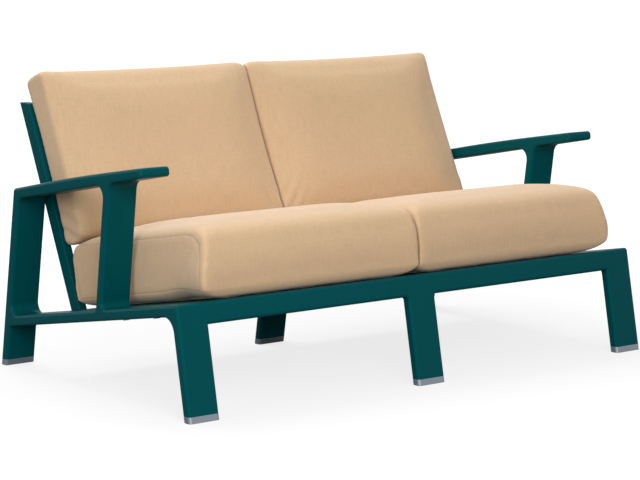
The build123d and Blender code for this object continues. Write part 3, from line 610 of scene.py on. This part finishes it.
def back_seams():
    """The seam round the rear panel; the cushion's heel leans, so it starts a little lower."""
    x = CUSHION_HALF_WIDTH + 0.005
    low = -BACK_SEAM * math.tan(BACK_HEEL) - 0.004
    high = BACK_HEIGHT + 0.004
    corners = [(-x, low), (x, low), (x, high), (-x, high)]
    return [loop_path([(across, along, BACK_SEAM) for across, along in corners])]


def seam_distance(piece, paths, lie):
    """How far each point of a piece lies from the nearest seam."""
    skin = BVHTree.FromObject(piece, bpy.context.evaluated_depsgraph_get())
    dropped = []
    for path in paths:
        for spot in lie.world(np.array(path)):
            dropped.append(skin.find_nearest(Vector(spot))[0])
    tree = KDTree(len(dropped))
    for index, spot in enumerate(dropped):
        tree.insert(spot, index)
    tree.balance()
    return np.array([tree.find(Vector(point))[2] for point in points_of(piece.data)])


print("seam spots:", sum(len(path) for path in seat_seams() + back_seams()))

# %% [markdown]
# The cloth swells for a few frames, with the cover's seams pinned. Left alone it would balloon,
# so only its folds and its slip along the skin are kept, each with a soft limit.
# The cover so keeps the size that it was cut to.

# %% Swell a skin like a stuffed cover
START_INSET = 0.006
SWELL_FRAMES = 16
HELD_REACH = 0.010
HELD_LEAST = 0.02
FOLD_DEPTH = 0.0020
FOLD_SETTLE = 0.4
SLIP = 0.006
CLOTH_SETTINGS = {
    "quality": 3,
    "mass": 0.25,
    "air_damping": 3.0,
    "tension_stiffness": 18.0,
    "compression_stiffness": 14.0,
    "shear_stiffness": 6.0,
    "bending_stiffness": 0.8,
    "use_pressure": True,
    "uniform_pressure_force": 4.0,
    "vertex_group_mass": "seams",
    "pin_stiffness": 0.6,
}


def soft_limit(values, limit):
    return limit * np.tanh(values / limit)


def swell(piece, reach):
    """Blow the piece up, and lay what the cloth did on its skin; reach is to the seams."""
    mesh = piece.data
    rest = points_of(mesh)
    outward = normals_of(mesh)
    set_points(mesh, rest - outward * START_INSET)
    held = np.clip(1.0 - reach / HELD_REACH, 0.0, 1.0)
    seams = piece.vertex_groups.new(name="seams")
    for index in np.nonzero(held > HELD_LEAST)[0]:
        seams.add([int(index)], float(held[index]), "REPLACE")
    cloth = piece.modifiers.new("stuffing", "CLOTH")
    for name, value in CLOTH_SETTINGS.items():
        setattr(cloth.settings, name, value)
    cloth.settings.effector_weights.gravity = 0.0
    cloth.collision_settings.use_self_collision = False
    cloth.point_cache.frame_start = 1
    cloth.point_cache.frame_end = SWELL_FRAMES
    for number in range(1, SWELL_FRAMES + 1):
        bpy.context.scene.frame_set(number)
    depsgraph = bpy.context.evaluated_depsgraph_get()
    move = points_of(piece.evaluated_get(depsgraph).data) - rest
    piece.modifiers.clear()
    piece.vertex_groups.clear()
    bpy.context.scene.frame_set(1)
    lift = (move * outward).sum(axis=1)
    slip = move - lift[:, None] * outward
    slip_length = np.maximum(np.linalg.norm(slip, axis=1), 1e-9)
    slip *= (soft_limit(slip_length, SLIP) / slip_length)[:, None]
    unevenness = lift - np.median(lift)
    fold = soft_limit(unevenness, FOLD_DEPTH) - FOLD_DEPTH * FOLD_SETTLE
    set_points(mesh, rest + slip + fold[:, None] * outward)
    print("lift", round(float(np.median(lift)), 4), "m, folds", round(np.ptp(fold), 4), "m")


print("swelling takes", SWELL_FRAMES, "frames")

# %% [markdown]
# Stuffed cloth pulls itself into one smooth pillow between its seams. Here each point of a panel
# moves towards the middle of its neighbours, some rounds over, and near the panel's edge less.

# %% Relax the cover's panels
RELAX_STEP = 0.5
RELAX_ROUNDS = 14
BACK_PANEL_FROM = 0.086
BACK_PANEL_FADE = 0.018
WRAP_FRONT = 0.110
WRAP_FRONT_FADE = 0.040
WRAP_BOTTOM = 0.020
WRAP_BOTTOM_FADE = 0.030
WRAP_CROWN = 0.182
WRAP_CROWN_FADE = 0.020


def share_past(past, fade):
    """0 up to a place, and from there growing to 1 over the length of the fade."""
    return np.clip(past / fade, 0.0, 1.0)


def back_panel_share(local):
    """A back cushion's front panel."""
    return share_past(local[:, 2] - BACK_PANEL_FROM, BACK_PANEL_FADE)


def seat_wrap_share(local):
    """The panel that wraps a seat cushion's front and top, but not its bottom edge."""
    front = share_past(WRAP_FRONT - local[:, 1], WRAP_FRONT_FADE)
    front *= share_past(local[:, 2] - WRAP_BOTTOM, WRAP_BOTTOM_FADE)
    crown = share_past(local[:, 2] - WRAP_CROWN, WRAP_CROWN_FADE)
    return np.maximum(front, crown)


def relax(piece, lie, share_of):
    mesh = piece.data
    ends = np.empty(len(mesh.edges) * 2, dtype=np.int64)
    mesh.edges.foreach_get("vertices", ends)
    first, second = ends.reshape(-1, 2).T
    table = lie.local(points_of(mesh))
    count = len(table)
    share = share_of(table)[:, None]
    neighbours = np.bincount(np.concatenate([first, second]), minlength=count)[:, None]
    for _ in range(RELAX_ROUNDS):
        middle = np.empty_like(table)
        for axis in range(3):
            middle[:, axis] = np.bincount(first, table[second, axis], minlength=count)
            middle[:, axis] += np.bincount(second, table[first, axis], minlength=count)
        table += (middle / neighbours - table) * share * RELAX_STEP
    set_points(mesh, lie.world(table))


print("panels relax for", RELAX_ROUNDS, "rounds")

# %% [markdown]
# The cover's UV map is laid panel by panel: each face is mapped along the two directions of
# the cushion that it faces least, in metres, so a thread is the same width everywhere.


# %% Lay the cloth on the panels
def lay_cloth(piece, lie):
    mesh = piece.data
    facing = np.empty(len(mesh.polygons) * 3)
    mesh.polygons.foreach_get("normal", facing)
    facing = np.abs(facing.reshape(-1, 3) @ lie.axes.T)
    sizes = np.empty(len(mesh.polygons), dtype=np.int64)
    mesh.polygons.foreach_get("loop_total", sizes)
    panel = np.repeat(facing.argmax(axis=1), sizes)
    corner = np.empty(len(mesh.loops), dtype=np.int64)
    mesh.loops.foreach_get("vertex_index", corner)
    spot = lie.local(points_of(mesh))[corner]
    first = np.where(panel == 0, spot[:, 1], spot[:, 0])
    second = np.where(panel == 2, spot[:, 1], spot[:, 2])
    layer = mesh.uv_layers.new(name="cloth")
    layer.data.foreach_set("uv", np.stack([first, second], axis=1).ravel())


print("a thread is", THREAD_PITCH * 1000, "mm wide on the map")

# %% [markdown]
# Relaxed skins have shrunk a little. So each is stretched, in each of its directions, until its
# ends meet the ends of the construction solid, and lifted where it would sink into the foam.

# %% Stretch a skin to its room
ROOM_MARGIN = 0.0006
COVER_THICKNESS = 0.004


def fill_room(local, room):
    """Scale each direction so the skin's ends meet the ends of the construction solid."""
    low = local.min(axis=0)
    high = local.max(axis=0)
    room_low = room.min(axis=0) + ROOM_MARGIN
    room_high = room.max(axis=0) - ROOM_MARGIN
    return room_low + (local - low) * (room_high - room_low) / (high - low)


def clear_of_foam(local, foam):
    """Lift the cover where it would sink into the foam slab under it."""
    low = foam.min(axis=0) - COVER_THICKNESS
    high = foam.max(axis=0) + COVER_THICKNESS
    depth_inside = np.minimum(local - low, high - local)
    inside = (depth_inside > 0.0).all(axis=1)
    nearest = depth_inside.argmin(axis=1)
    for axis in range(3):
        chosen = inside & (nearest == axis)
        upper = local[:, axis] > (low[axis] + high[axis]) / 2
        local[chosen & upper, axis] = high[axis]
        local[chosen & ~upper, axis] = low[axis]
    return local


print("a cover keeps", COVER_THICKNESS * 1000, "mm off its foam")

# %% [markdown]
# The last shape comes from soft pushes at chosen places: corners that stand square, a side that
# bulges, folds where a cover goes slack. A push or a fold is strongest at its middle and dies
# out over its reach. The inner sides leave a crease's width free, so that the two cushions of a
# pair never touch, and the outer sides stop short of the arm posts.

# %% Pushes, folds and the room at the sides
CREASE = 0.0020


def nearness(local, centre, reach):
    """Offsets from a centre, and 1 there, dying out over a reach for each direction."""
    offset = local - np.array(centre)
    return offset, np.exp(-((offset / np.array(reach)) ** 2).sum(axis=1))


def pushed(local, outer, pushes):
    """How far the pushes move each point of a cushion.

    A push is (middle, reach, move). Its middle is (side, along, off), where side 1 is the
    cushion's outer side and -1 its inner side. Its move is (towards the outer side, along, off).
    """
    moves = np.zeros_like(local)
    for (side, along, off), reach, (outwards, *others) in pushes:
        _, near = nearness(local, (side * outer * CUSHION_HALF_WIDTH, along, off), reach)
        moves += near[:, None] * np.array((outer * outwards, *others))
    return moves


def slack_waves(local, centre, reach, direction, pitch, depth):
    """Short folds round a centre, running square to a direction."""
    offset, near = nearness(local, centre, reach)
    run = offset @ (np.array(direction) / np.linalg.norm(direction))
    return depth * near * np.sin(2 * math.pi * run / pitch)


def hold_sides(local, moves, outer, outer_room, beside_post=True):
    """Keep the crease free at the inner side, and stay within the room at the outer side."""
    inner_reach = -outer * (local[:, 0] + moves[:, 0])
    moves[:, 0] += outer * np.maximum(inner_reach - CUSHION_HALF_WIDTH + CREASE, 0.0)
    outer_reach = outer * (local[:, 0] + moves[:, 0])
    too_far = np.maximum(outer_reach - CUSHION_HALF_WIDTH - outer_room, 0.0)
    moves[:, 0] -= outer * too_far * beside_post


print("two cushions stay", CREASE * 2000, "mm apart beyond their construction gap")


# %% One cushion from start to finish
def make_cushion(side_name, outer, kind, lie, seams, share_of, moves_of, bite):
    """A cover in place of a cushion's construction solid; bite is a seam's depth and width."""
    node_name = f"{side_name}_{kind}_cushion"
    piece = outer_skin(node_name, f"{side_name}_{kind}_cover")
    swell(piece, seam_distance(piece, seams, lie))
    relax(piece, lie, share_of)
    smooth = piece.modifiers.new("round_off", "SUBSURF")
    smooth.levels = 1
    bake_modifiers(piece)
    mesh = piece.data
    room = lie.local(points_of(frame["nodes"][node_name].data))
    foam = lie.local(points_of(frame["nodes"][f"{side_name}_{kind}_core"].data))
    local = fill_room(lie.local(points_of(mesh)), room)
    local = clear_of_foam(local + moves_of(local, outer), foam)
    set_points(mesh, lie.world(local))
    reach = seam_distance(piece, seams, lie)
    valley = bite[0] * np.exp(-((reach / bite[1]) ** 2))
    set_points(mesh, points_of(mesh) - normals_of(mesh) * valley[:, None])
    mark = mesh.attributes.new("seam_reach", "FLOAT", "POINT")
    mark.data.foreach_set("value", reach.astype(np.float32))
    lay_cloth(piece, lie)
    mesh.materials.clear()
    mesh.materials.append(cover_cloth)
    mesh.polygons.foreach_set("use_smooth", np.ones(len(mesh.polygons), dtype=bool))
    mesh.update()
    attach(piece, f"{side_name}_{kind}")
    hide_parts(node_name)
    print(piece.name, "has", len(mesh.polygons), "faces and measures", rounded([piece.dimensions]))


# %% [markdown]
# The seat cushions are the thick ones. Their front corners stand nearly square, the outer one
# bulges low down beside the arm post, and behind it the bottom edge lifts off the side rail.
# At the rear the cover fills the corner, but low down the back's uprights stand in its way.

# %% Seat cushions
SEAT_PUSHES = (
    # outer front corner: a bulge low down, and a square edge
    ((1, 0.0, 0.045), (0.080, 0.100, 0.060), (0.019, -0.004, 0.0)),
    ((1, 0.0, 0.090), (0.028, 0.028, 0.120), (0.006, -0.006, 0.0)),
    # outer rear corner: a square edge
    ((1, SEAT_DEPTH, 0.090), (0.030, 0.030, 0.120), (0.005, 0.005, 0.0)),
    # inner front corner: filled up to the crease, low down as well
    ((-1, 0.0, 0.060), (0.030, 0.030, 0.130), (-0.008, -0.005, 0.0)),
    ((-1, 0.0, 0.0), (0.050, 0.080, 0.030), (-0.014, 0.0, -0.001)),
    # the bottom edge lifts behind the outer front corner
    ((1, 0.140, 0.0), (0.060, 0.070, 0.045), (0.0, 0.0, 0.010)),
    # outer rear corner: full near the top and near the bottom
    ((1, SEAT_DEPTH, 0.155), (0.060, 0.070, 0.050), (0.002, 0.009, 0.0)),
    ((1, SEAT_DEPTH, 0.020), (0.060, 0.070, 0.045), (0.010, 0.012, 0.0)),
)
LOW_REAR = 0.075
UPRIGHT_ROOM = 0.012
UPRIGHT_SLOPE = 0.22
POST_PLACE = 0.250
POST_ROOM = 0.0038


def seat_moves(local, outer):
    """Pushes, room for the uprights, slack folds in the gusset, and room at the sides."""
    moves = pushed(local, outer, SEAT_PUSHES)
    low = local[:, 2] < LOW_REAR
    room_behind = SEAT_DEPTH - UPRIGHT_ROOM + UPRIGHT_SLOPE * local[low, 2]
    moves[low, 1] = np.minimum(moves[low, 1], np.maximum(room_behind - local[low, 1], 0.0))
    centre = (outer * CUSHION_HALF_WIDTH, 0.050, 0.120)
    folds = slack_waves(local, centre, (0.040, 0.050, 0.050), (0.0, 1.0, 0.5), 0.034, 0.0008)
    moves[:, 0] += outer * folds
    hold_sides(local, moves, outer, POST_ROOM, local[:, 1] > POST_PLACE)
    return moves


for side_name, outer in SIDES:
    make_cushion(
        side_name,
        outer,
        "seat",
        seat_lie(outer),
        seat_seams(),
        seat_wrap_share,
        seat_moves,
        bite=(0.0012, 0.010),
    )

# %% [markdown]
# The back cushions are thinner and softer. Both their sides are full, the top inner corner is
# notched where the two lean together, and low down the cover goes slack and folds.

# %% Back cushions
FAR = 5.0
BACK_PUSHES = (
    # outer side: full along its rear edge, its middle and its front edge
    ((1, 0.180, 0.0), (0.020, FAR, 0.020), (0.003, 0.0, -0.001)),
    ((1, 0.200, 0.060), (0.050, 0.200, 0.060), (0.005, 0.0, 0.0)),
    ((1, 0.230, 0.090), (0.030, FAR, 0.030), (0.003, 0.0, 0.006)),
    # inner side: filled along its front edge, with a notch in its top corner
    ((-1, 0.230, 0.085), (0.030, FAR, 0.035), (-0.007, 0.0, 0.004)),
    ((-1, BACK_HEIGHT, 0.080), (0.022, 0.026, 0.060), (0.003, -0.010, 0.0)),
)
BACK_OUTER_ROOM = 0.005


def back_moves(local, outer):
    """Pushes, slack folds low down at both sides, and room at the sides."""
    moves = pushed(local, outer, BACK_PUSHES)
    centre = (outer * CUSHION_HALF_WIDTH, 0.030, 0.045)
    folds = slack_waves(local, centre, (0.030, 0.060, 0.045), (0.0, 1.0, 0.8), 0.036, 0.0026)
    moves[:, 0] += outer * folds
    centre = (-outer * CUSHION_HALF_WIDTH * 0.93, 0.030, 0.100)
    direction = (-outer, 0.7, 0.0)
    folds = slack_waves(local, centre, (0.050, 0.060, 0.060), direction, 0.030, 0.0018)
    moves[:, 2] += folds
    hold_sides(local, moves, outer, BACK_OUTER_ROOM)
    return moves


for side_name, outer in SIDES:
    make_cushion(
        side_name,
        outer,
        "back",
        back_lie(outer),
        back_seams(),
        back_panel_share,
        back_moves,
        bite=(0.0014, 0.007),
    )

# %% [markdown]
# ## Ground and light
# The settee stands on plain white ground in an even, bright room. The ground's own colour makes
# the background white; the lamps stay at a level at which a colour looks as it is written.
# The ground glows where the eye meets it, a little less near the settee, so that its shadows
# show; on the settee itself it only throws back the light that falls on it.

# %% Ground
GROUND_GREY = 0.19
GLOW_NEAR = 0.79
GLOW_FAR = 1.0
GLOW_FROM = 0.9
GLOW_TO = 2.4


def eye_rays(tree, place):
    """A Light Path node, and 1 for a ray from the eye, also through glass, or else 0."""
    rays = add_node(tree, "ShaderNodeLightPath", place)
    straight, through = rays.outputs["Is Camera Ray"], rays.outputs["Is Transmission Ray"]
    return rays, math_node(tree, "MAXIMUM", (place[0] + 200, place[1]), straight, through)


ground_mesh = bpy.data.meshes.new("ground")
ground_form = bmesh.new()
bmesh.ops.create_grid(ground_form, x_segments=1, y_segments=1, size=60.0)
ground_form.to_mesh(ground_mesh)
ground_form.free()
ground = bpy.data.objects.new("ground", ground_mesh)
bpy.context.scene.collection.objects.link(ground)
ground_material, ground_tree, ground_shader = new_finish(
    "white_ground",
    (GROUND_GREY, GROUND_GREY, GROUND_GREY),
    0.9,
    Specular_IOR_Level=0.0,
    Emission_Color=(1.0, 1.0, 1.0, 1.0),
)
ground_place = add_node(ground_tree, "ShaderNodeTexCoord", (-1100, -400)).outputs["Object"]
ground_reach = add_node(ground_tree, "ShaderNodeVectorMath", (-900, -400), operation="LENGTH")
ground_tree.links.new(ground_place, ground_reach.inputs[0])
glow = smooth_ramp(
    ground_tree,
    (-700, -400),
    ground_reach.outputs["Value"],
    From_Min=GLOW_FROM,
    From_Max=GLOW_TO,
    To_Min=GLOW_NEAR,
    To_Max=GLOW_FAR,
)
_, ground_seen = eye_rays(ground_tree, (-900, -150))
glowing = math_node(ground_tree, "MULTIPLY", (-350, -300), ground_seen, glow)
set_sockets(ground_tree, ground_shader, Emission_Strength=glowing)
ground_mesh.materials.append(ground_material)
print("ground is", round(ground.dimensions.x), "m wide")

# %% [markdown]
# The room is white wherever the eye meets it, also in a reflection, but lights the settee at
# about half that strength. A broad lamp overhead and behind lights the tops of the cushions;
# one in front and one at the left fill the fronts, and leave soft shadows under the frame and
# to the right of the legs.

# %% Light
SKY_LIGHT = 0.48
# name, place, aim, width, height, watts
LAMPS = (
    ("overhead_softbox", (0.1, 1.8, 4.1), (0.0, -0.1, 0.4), 3.2, 2.4, 125.0),
    ("front_softbox", (-2.2, -4.0, 2.1), (-0.1, 0.0, 0.4), 2.2, 2.2, 122.0),
    ("left_softbox", (-4.6, -1.0, 1.9), (-0.4, 0.0, 0.4), 2.2, 2.2, 48.0),
)

world = bpy.data.worlds.new("bright_room")
bpy.context.scene.world = world
world.use_nodes = True
world_tree = world.node_tree
world_tree.nodes.clear()
world_out = add_node(world_tree, "ShaderNodeOutputWorld", (400, 0))
sky = add_node(world_tree, "ShaderNodeBackground", (100, 0))
sky_rays, sky_seen = eye_rays(world_tree, (-500, 0))
shiny = math_node(world_tree, "MAXIMUM", (-120, 0), sky_seen, sky_rays.outputs["Is Glossy Ray"])
extra = math_node(world_tree, "MULTIPLY", (-120, -160), shiny, 1.0 - SKY_LIGHT)
sky_strength = math_node(world_tree, "ADD", (-60, -300), extra, SKY_LIGHT)
set_sockets(world_tree, sky, Color=(1.0, 1.0, 1.0, 1.0), Strength=sky_strength)
world_tree.links.new(sky.outputs[0], world_out.inputs[0])


def add_lamp(name, place, aim, width, height, watts):
    """A softbox: a rectangle of light that faces its aim."""
    lamp_data = bpy.data.lights.new(name, "AREA")
    lamp_data.shape = "RECTANGLE"
    lamp_data.size = width
    lamp_data.size_y = height
    lamp_data.energy = watts
    lamp = bpy.data.objects.new(name, lamp_data)
    bpy.context.scene.collection.objects.link(lamp)
    look = (Vector(aim) - Vector(place)).to_track_quat("-Z", "Y")
    lamp.matrix_world = Matrix.Translation(Vector(place)) @ look.to_matrix().to_4x4()


for lamp in LAMPS:
    add_lamp(*lamp)

# %% [markdown]
# ## Finish
# The picture keeps its colours as they are written.

# %% Keep the colours as written
bpy.context.scene.view_settings.view_transform = "Standard"
